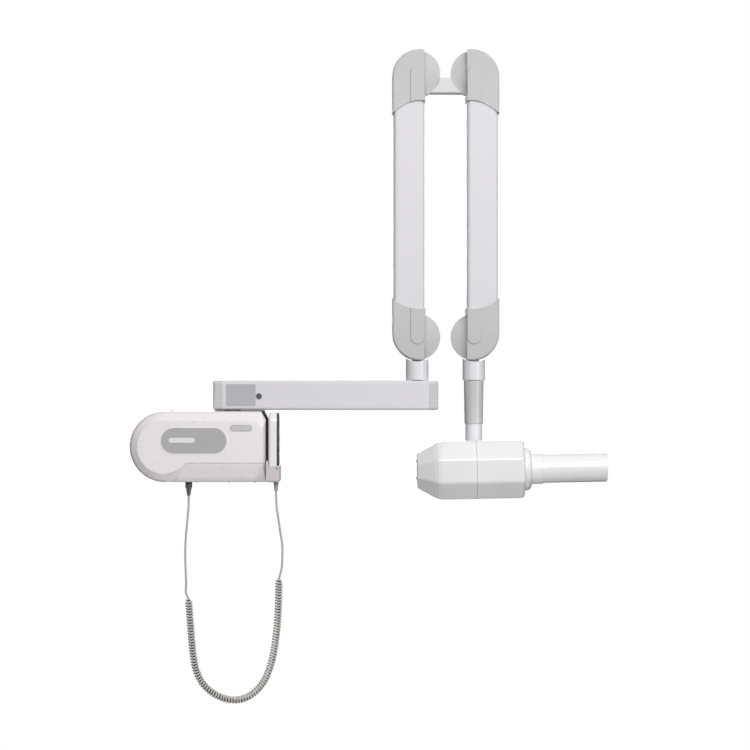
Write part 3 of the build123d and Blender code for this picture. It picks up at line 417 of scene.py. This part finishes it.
GREY_AGEING = (1.0, 0.995, 0.985)  # tint of the aged patches on the grey mouldings
MATERIALS = {
    "white_plastic": lambda n: moulded(n, (0.87, 0.83, 0.845), 0.28, coat=0.15),
    "head_white": lambda n: moulded(n, (0.83, 0.825, 0.84), 0.22, grain=600.0, tint=(1.0, 0.99, 0.985),
                                    coat=0.35),
    "arm_white": lambda n: coated(n, (0.715, 0.70, 0.73), 0.45, coat=0.0, specular=0.2),
    "casting_white": lambda n: coated(n, (0.79, 0.78, 0.81), 0.42, coat=0.9),
    "cover_grey": lambda n: moulded(n, (0.53, 0.53, 0.53), 0.48, tint=GREY_AGEING, specular=0.2),
    "panel_grey": lambda n: moulded(n, (0.43, 0.43, 0.435), 0.3, grain=1600.0),
    "black_steel": lambda n: coated(n, (0.018, 0.018, 0.02), 0.42),
    "dark_plastic": lambda n: moulded(n, (0.05, 0.05, 0.052), 0.45, grain=1300.0, grain_depth=0.00008),
    "button_grey": lambda n: moulded(n, (0.6, 0.6, 0.59), 0.4),
    "gland_beige": lambda n: rubbery(n, (0.46, 0.42, 0.36), 0.5),
    "cord_grey": lambda n: rubbery(n, (0.53, 0.505, 0.475), 0.42),
    "label_film": lambda n: moulded(n, (0.44, 0.43, 0.45), 0.45, grain=1800.0),
    "board_green": lambda n: circuit(n, (0.02, 0.14, 0.05)),
    "steel": lambda n: machined(n, (0.5, 0.5, 0.51), 0.28),
    "spring_steel": lambda n: machined(n, (0.2, 0.2, 0.21), 0.35),
    "transformer_steel": lambda n: cast(n, (0.3, 0.3, 0.32), 0.5),
    "cast_iron": lambda n: cast(n, (0.12, 0.12, 0.125), 0.65),
    "aluminium": lambda n: machined(n, (0.62, 0.62, 0.63), 0.35, (40.0, 1.0, 1.0)),
    "bronze": lambda n: machined(n, (0.55, 0.36, 0.14), 0.3),
    "lead": lambda n: cast(n, (0.2, 0.205, 0.22), 0.7),
    "tube_glass": lambda n: clear_glass(n, (0.85, 0.92, 0.9)),
    "lens_grey": lambda n: moulded(n, (0.62, 0.62, 0.625), 0.16, grain=1600.0, coat=0.5),
    "display_glass": lambda n: moulded(n, (0.05, 0.07, 0.06), 0.1, grain=1600.0, coat=0.6),
    "liner_grey": lambda n: machined(n, (0.3, 0.3, 0.31), 0.45, (1.0, 40.0, 40.0)),
}


def make_materials():
    """Builds every material and puts one on each node: its own if it has one, or else its slot's."""
    made = {slot: build(slot) for slot, build in MATERIALS.items()}
    # painted light: a paler copy of the grey cover plastic, so the end caps and the yoke sleeve read
    # brighter than the other grey covers
    pale = moulded("painted_light_cover_grey", (0.575, 0.575, 0.575), 0.34, tint=GREY_AGEING, coat=0.6)
    special = {"wall_bracket": bracket_steel("bracket_steel"), "round_plug": plug_plastic("plug_plastic"),
               "handset_cradle": moulded("cradle_white", (0.60, 0.56, 0.57), 0.34),
               "cord_plug": rubbery("strain_relief", (0.17, 0.16, 0.145), 0.5),
               # painted shade: a darker copy of the white casting paint for the bridge bar
               "bridge_bar": coated("painted_shade_bridge_white", (0.70, 0.69, 0.71), 0.5, coat=0.0, specular=0.15)}
    special.update((name, pale) for name in ("extension_caps", "yoke_sleeve"))
    # painted light: a slightly paler, matte copy of the grey cover plastic for the hub cheeks
    cheek = moulded("painted_light_cheek_grey", (0.55, 0.55, 0.55), 0.5, tint=GREY_AGEING, specular=0.2)
    special.update((name, cheek) for name in ("base_cheeks", "bridge_cheeks", "head_cheeks"))
    for part in frame["record"]["subparts"]:
        node = NODES[part["node"]]
        node.data.materials.clear()
        node.data.materials.append(special.get(part["node"]) or made[part["material_slot"]])
    return made


# ---- shared mesh helpers ------------------------------------------------------------------------
def mesh_object(name, bm, material, body, smooth=True):
    mesh = bpy.data.meshes.new(name)
    bm.to_mesh(mesh)
    bm.free()
    for face in mesh.polygons:
        face.use_smooth = smooth
    mesh.materials.append(material)
    obj = bpy.data.objects.new(name, mesh)
    bpy.context.scene.collection.objects.link(obj)
    if body:
        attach(obj, body)
    return obj


def spline_points(name, points, resolution):
    """The smooth line that a route steers: a NURBS spline's own points, in order."""
    data = bpy.data.curves.new(name, "CURVE")
    data.dimensions = "3D"
    spline = data.splines.new("NURBS")
    spline.points.add(len(points) - 1)
    for target, point in zip(spline.points, points):
        target.co = (*point, 1.0)
    spline.order_u = 3
    spline.use_endpoint_u = True
    spline.resolution_u = resolution
    holder = bpy.data.objects.new(name, data)
    bpy.context.scene.collection.objects.link(holder)
    bpy.context.view_layer.update()
    line = bpy.data.meshes.new_from_object(holder)
    result = [v.co.copy() for v in line.vertices]
    bpy.data.objects.remove(holder)
    bpy.data.curves.remove(data)
    bpy.data.meshes.remove(line)
    return result


# ---- curly cord ---------------------------------------------------------------------------------
CORD_D = 0.0048
COIL_D = 0.0176
COIL_PITCH = 0.0064
COIL_STEPS = 16                    # points in one turn
COIL_LEAD = 1.2                    # turns over which the coil opens to its full width
CORD_SIDES = 8
LEAD_STEP = 0.004                  # spacing of the points in the straight leads
LEAST_STEP = 0.0004                # points closer than this are one
CORD_LEFT = [
    (-0.1189, -0.0600, -0.1136), (-0.1189, -0.0600, -0.1370), (-0.1221, -0.0603, -0.1709),
    (-0.1255, -0.0606, -0.2067), (-0.1271, -0.0608, -0.2436), (-0.1261, -0.0610, -0.2824),
    (-0.1242, -0.0610, -0.3205), (-0.1268, -0.0610, -0.3375),
    (-0.1197, -0.0610, -0.3482),
]
COIL = [
    (-0.1197, -0.0610, -0.3482), (-0.1160, -0.0610, -0.3900), (-0.1127, -0.0630, -0.4336),
    (-0.1087, -0.0650, -0.4771), (-0.1010, -0.0675, -0.5190), (-0.0795, -0.0700, -0.5535),
    (-0.0410, -0.0725, -0.5770), (-0.0010, -0.0750, -0.5810), (0.0335, -0.0780, -0.5635),
    (0.0595, -0.0810, -0.5300), (0.0745, -0.0840, -0.4853), (0.0821, -0.0865, -0.4394),
    (0.0868, -0.0890, -0.3925), (0.0886, -0.0890, -0.3450), (0.0897, -0.0890, -0.2999),
]
CORD_RIGHT = [
    (0.0897, -0.0890, -0.2999), (0.0965, -0.0890, -0.2770), (0.0971, -0.0900, -0.2518),
    (0.0978, -0.0915, -0.2249), (0.0929, -0.0935, -0.1971), (0.0891, -0.0955, -0.1673),
    (0.0832, -0.0980, -0.1305), (0.0832, -0.0980, -0.0995),
]


def along(line, step):
    """Points every step along a line of points, with the two ends kept."""
    out, carry = [line[0]], 0.0
    for a, b in zip(line, line[1:]):
        length = (b - a).length
        at = step - carry
        while at < length:
            out.append(a.lerp(b, at / length))
            at += step
        carry = (carry + length) % step
    out.append(line[-1])
    return out


def frames_along(line):
    """A side and an up vector at each point, turned as little as possible from one to the next."""
    side = Vector((0, 1, 0))
    out = []
    for i, point in enumerate(line):
        ahead = line[min(i + 1, len(line) - 1)] - line[max(i - 1, 0)]
        ahead.normalize()
        side = (side - ahead * side.dot(ahead)).normalized()
        out.append((point, side.copy(), ahead.cross(side)))
    return out


def helix_along(line):
    """The curly stretch: the cord's centre winds round the line, opening from it and closing to it."""
    axis = frames_along(along(line, COIL_PITCH / COIL_STEPS))
    radius = (COIL_D - CORD_D) / 2
    lead = COIL_LEAD * COIL_STEPS
    out = []
    for i, (point, side, up) in enumerate(axis):
        share = min(1.0, min(i, len(axis) - 1 - i) / lead)
        grow = share * share * (3 - 2 * share)
        turn = 2 * math.pi * i / COIL_STEPS
        out.append(point + (side * math.cos(turn) + up * math.sin(turn)) * radius * grow)
    return out


def tube_mesh(line, radius, sides):
    """A round tube along a line of points, closed at both ends."""
    bm = bmesh.new()
    rings = []
    for point, side, up in frames_along(line):
        ring = []
        for k in range(sides):
            a = 2 * math.pi * k / sides
            ring.append(bm.verts.new(point + (side * math.cos(a) + up * math.sin(a)) * radius))
        rings.append(ring)
    for a, b in zip(rings, rings[1:]):
        for k in range(sides):
            bm.faces.new((a[k], a[(k + 1) % sides], b[(k + 1) % sides], b[k]))
    bm.faces.new(list(reversed(rings[0])))
    bm.faces.new(rings[-1])
    bm.normal_update()
    return bm


def make_cord(made):
    """The cord in one piece: straight lead, coil, straight lead."""
    left = spline_points("cord_left_line", CORD_LEFT, 8)
    middle = spline_points("coil_line", COIL, 24)
    right = spline_points("cord_right_line", CORD_RIGHT, 8)
    path = along(left, LEAD_STEP) + helix_along(middle)[1:-1] + along(right, LEAD_STEP)
    clean = [path[0]]
    for p in path[1:]:
        if (p - clean[-1]).length > LEAST_STEP:
            clean.append(p)
    cord = mesh_object("curly_cord", tube_mesh(clean, CORD_D / 2, CORD_SIDES), made["cord_grey"],
                       None)
    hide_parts("cord_left", "cord_coil", "cord_right")
    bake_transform(cord)


# ---- small parts --------------------------------------------------------------------------------
SEAT = 0.0001                      # how far a trim piece starts inside the surface it sits on
BADGE_BAR = (-0.1596, -0.1005, 0.0093, 0.0207)     # left, right, bottom, top
LENS_EDGE = 0.0022
KEY_Z = 0.002
KEY_GAP = 0.010                    # each of the two keys from the handset's middle
LAMP_Z = -0.016
LAMP_STEP = 0.009
DISPLAY_Z = 0.054
DISPLAY_HALF = (0.0134, 0.0074)
SPRING_START = 0.112               # heights over the rod's foot
SPRING_END = 0.348
SPRING_R = 0.0092
SPRING_WIRE_R = 0.00165
SPRING_TURNS = 34
SPRING_STEPS = 12                  # points in one turn
HEAD_TILT = 1.1                    # degrees the cone is raised at rest
LINER_R = 0.03019
LINER_BORE = 0.0297
LINER_BACK = -0.119                # from the cone's middle
LINER_FRONT = 0.0698
LINER_SIDES = 64
HIGHLIGHT_NEAR = 0.0045                 # a painted highlight's two ends, from the arm's end
HIGHLIGHT_FAR = 0.0193
HIGHLIGHT_LOW = 0.02215                 # its two edges, over the arm's underside
HIGHLIGHT_HIGH = 0.02305
GROOVE_DEPTH = 0.0007                # depth of the groove it lies in
HUB_IN = 0.053                     # a hub pin's centre from the closed end of its covers
COVER_SCREWS = (-0.018, 0.030)     # from the hub pin, toward the arm's middle
COVER_SCREW_R = 0.003
BOX_SCREW_R = 0.0024
BOX_SCREW_IN = 0.007               # from the box's back
HEAD_SCREW_R = 0.0026
HEAD_SCREW_RING = 0.027


def middle_of(node):
    """A node's middle, and the low and high corners of its box."""
    low, high = (Vector(c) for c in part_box(node))
    return (low + high) / 2, low, high


def stadium_points(x0, x1, z0, z1, steps=14):
    """A bar with two round ends."""
    r = (z1 - z0) / 2
    z = (z0 + z1) / 2
    out = []
    for centre, start in ((x1 - r, -90), (x0 + r, 90)):
        for i in range(steps + 1):
            a = math.radians(start + 180 * i / steps)
            out.append((centre + r * math.cos(a), z + r * math.sin(a)))
    return out


def raised_plate(bm, points, frame_of, height, rounding):
    """A flat shape with a rounded edge; frame_of puts its (u, v, height) into space."""
    base = [bm.verts.new(frame_of(u, v, 0)) for u, v in points]
    face = bm.faces.new(base)
    grown = bmesh.ops.extrude_face_region(bm, geom=[face])["geom"]
    lift = Vector(frame_of(0, 0, height)) - Vector(frame_of(0, 0, 0))
    bmesh.ops.translate(bm, verts=[v for v in grown if isinstance(v, bmesh.types.BMVert)], vec=lift)
    rim = [e for e in grown if isinstance(e, bmesh.types.BMEdge)]
    bmesh.ops.bevel(bm, geom=rim, offset=rounding, segments=3, profile=0.5, affect="EDGES")
    bmesh.ops.recalc_face_normals(bm, faces=bm.faces[:])


def front_facing(y):
    return lambda u, v, h: (u, y - h, v)


def right_facing(x):
    return lambda u, v, h: (x + h, u, v)


def lathe(bm, rings, centre, axis, sides=32, close=True):
    """Rings of (radius, distance along the axis) round a line through centre."""
    axis = Vector(axis).normalized()
    side = axis.orthogonal().normalized()
    up = axis.cross(side)
    made_rings = []
    for radius, at in rings:
        ring = []
        for k in range(sides):
            a = 2 * math.pi * k / sides
            ring.append(bm.verts.new(Vector(centre) + axis * at
                                     + (side * math.cos(a) + up * math.sin(a)) * radius))
        made_rings.append(ring)
    for a, b in zip(made_rings, made_rings[1:]):
        for k in range(sides):
            bm.faces.new((a[k], a[(k + 1) % sides], b[(k + 1) % sides], b[k]))
    if close:
        bm.faces.new(list(reversed(made_rings[0])))
        bm.faces.new(made_rings[-1])
    return made_rings


def screw(bm, place, axis, r):
    """Button head screw with a hexagon socket, standing out along axis."""
    sides = 24
    height = r * 0.55
    profile = [(r, -height), (r, 0), (r * 0.9, height * 0.6), (r * 0.6, height), (r * 0.5, height),
               (r * 0.46, height * 0.1)]
    for ring in lathe(bm, profile, place, axis, sides)[-2:]:
        for k, vert in enumerate(ring):
            turn = math.radians((360 / sides * k) % 60 - 30)
            pull = math.cos(math.radians(30)) / math.cos(turn)
            foot = sum((v.co for v in ring), Vector()) / sides
            vert.co = foot + (vert.co - foot) * pull


def make_badge_bar(made):
    """The plain pale bar on the grey oval."""
    _, low, _ = middle_of("badge_panel")
    bm = bmesh.new()
    raised_plate(bm, stadium_points(*BADGE_BAR), front_facing(low.y + SEAT), height=0.0009, rounding=0.0004)
    mesh_object("badge_bar", bm, made["head_white"], "wall_unit", smooth=False)


def make_window_lens(made):
    """The paler lens in the small oval."""
    _, low, high = middle_of("status_window")
    bm = bmesh.new()
    outline = stadium_points(low.x + LENS_EDGE, high.x - LENS_EDGE, low.z + LENS_EDGE, high.z - LENS_EDGE)
    raised_plate(bm, outline, front_facing(low.y + SEAT), height=0.0005, rounding=0.0003)
    mesh_object("window_lens", bm, made["lens_grey"], "wall_unit", smooth=False)


def make_handset_keys(made):
    """Two keys, three small lamps and a display on the handset's face."""
    centre, _, high = middle_of("handset_face")
    key = [(0.0046, -0.001), (0.0046, 0.0006), (0.004, 0.0011), (0.0022, 0.0014), (0.0006, 0.0015)]
    lamp = [(0.0017, -0.0006), (0.0017, 0.0003), (0.0012, 0.0006)]
    root = high.x - 0.0003
    bm = bmesh.new()
    for side in (-1, 1):
        lathe(bm, key, (root, centre.y + side * KEY_GAP, KEY_Z), (1, 0, 0), 28)
    for place in (-1, 0, 1):
        lathe(bm, lamp, (root, centre.y + place * LAMP_STEP, LAMP_Z), (1, 0, 0), 20)
    mesh_object("handset_keys", bm, made["button_grey"], "handset")
    bm = bmesh.new()
    wide, tall = DISPLAY_HALF
    corners = [(centre.y + u * wide, DISPLAY_Z + v * tall) for u, v in ((-1, -1), (1, -1), (1, 1), (-1, 1))]
    raised_plate(bm, corners, right_facing(high.x - 0.0012), height=0.0007, rounding=0.0003)
    mesh_object("handset_display", bm, made["display_glass"], "handset", smooth=False)


def make_springs(made):
    """Each arm's balance spring: a close wound coil between two washers on its rod."""
    for arm in ("rear", "front"):
        centre, low, high = middle_of(f"{arm}_spring")
        start, end = low.z + SPRING_START, low.z + SPRING_END
        count = SPRING_TURNS * SPRING_STEPS
        line = []
        for i in range(count + 1):
            a = 2 * math.pi * i / SPRING_STEPS
            line.append(Vector((centre.x + SPRING_R * math.cos(a), centre.y + SPRING_R * math.sin(a),
                                start + (end - start) * i / count)))
        bm = tube_mesh(line, SPRING_WIRE_R, 6)
        foot = (centre.x, centre.y, 0)
        lathe(bm, [(0.003, low.z), (0.003, high.z)], foot, (0, 0, 1), 20)
        for z in (start - 0.004, end):
            washer = [(0.0105, z), (0.0115, z + 0.0008), (0.0115, z + 0.0032), (0.0105, z + 0.004)]
            lathe(bm, washer, foot, (0, 0, 1), 28)
        spring = mesh_object(f"{arm}_balance_spring", bm, made["spring_steel"], f"{arm}_arm")
        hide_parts(f"{arm}_spring")


def make_cone_liner(made):
    """The thin metal sleeve inside the cone, along its tilted axis."""
    centre = middle_of("cone")[0]
    tilt = math.radians(HEAD_TILT)
    axis = Vector((math.cos(tilt), 0, math.sin(tilt)))
    bm = bmesh.new()
    profile = [(LINER_R, LINER_BACK), (LINER_R, LINER_FRONT), (LINER_BORE, LINER_FRONT),
               (LINER_BORE, LINER_BACK)]
    rings = lathe(bm, profile, centre, axis, LINER_SIDES, close=False)
    for k in range(LINER_SIDES):
        after = (k + 1) % LINER_SIDES
        bm.faces.new((rings[-1][k], rings[-1][after], rings[0][after], rings[0][k]))
    bmesh.ops.recalc_face_normals(bm, faces=bm.faces[:])
    mesh_object("cone_liner", bm, made["liner_grey"], "tubehead")


def make_groove_highlights(made):
    """A painted highlight: a pale strip in each end cap's groove, on the front and the back, standing for
    the lit lower lip of the groove.
    """
    centre, low, high = middle_of("extension_caps")
    floor = (high.y - low.y) / 2 - GROOVE_DEPTH
    z0, z1 = low.z + HIGHLIGHT_LOW, low.z + HIGHLIGHT_HIGH
    bm = bmesh.new()
    for x0, x1 in ((low.x + HIGHLIGHT_NEAR, low.x + HIGHLIGHT_FAR), (high.x - HIGHLIGHT_FAR, high.x - HIGHLIGHT_NEAR)):
        corners = [(x0, z0), (x1, z0), (x1, z1), (x0, z1)]
        for side in (-1, 1):
            raised_plate(bm, corners, lambda u, v, h: (u, centre.y + side * (floor + h), v),
                         height=0.0005, rounding=0.0002)
    mesh_object("groove_highlights", bm, made["head_white"], "extension_arm", smooth=False)


def make_screws(made):
    """Screws on the hub covers' backs, under the box and in the back of the head."""
    for arm in ("rear", "front"):
        bm = bmesh.new()
        pin = middle_of(f"{arm}_hub_pins")[0]
        for end, way in (("lower", 1), ("upper", -1)):
            _, low, high = middle_of(f"{arm}_{end}_covers")
            hub = low.z + HUB_IN if way > 0 else high.z - HUB_IN
            for reach in COVER_SCREWS:
                screw(bm, (pin.x, high.y, hub + way * reach), (0, 1, 0), COVER_SCREW_R)
        mesh_object(f"{arm}_arm_screws", bm, made["steel"], f"{arm}_arm", smooth=False)
    bm = bmesh.new()
    centre, low, high = middle_of("lower_cover")
    for x in (low.x + 0.05, centre.x + 0.02, high.x - 0.025):
        screw(bm, (x, high.y - BOX_SCREW_IN, low.z), (0, 0, -1), BOX_SCREW_R)
    mesh_object("box_screws", bm, made["steel"], "wall_unit", smooth=False)
    bm = bmesh.new()
    centre, low, _ = middle_of("head_rear_shell")
    for k in range(4):
        a = math.radians(45 + 90 * k)
        place = (low.x, centre.y + HEAD_SCREW_RING * math.cos(a), centre.z + HEAD_SCREW_RING * math.sin(a))
        screw(bm, place, (-1, 0, 0), HEAD_SCREW_R)
    mesh_object("head_screws", bm, made["steel"], "tubehead", smooth=False)


# ---- assembly -----------------------------------------------------------------------------------
make_camera()
materials = make_materials()
for make in (make_cord, make_badge_bar, make_window_lens, make_handset_keys, make_springs, make_cone_liner,
             make_groove_highlights, make_screws):
    make(materials)
make_floor()
make_lights()
make_world()
bpy.context.scene.view_settings.view_transform = "Standard"
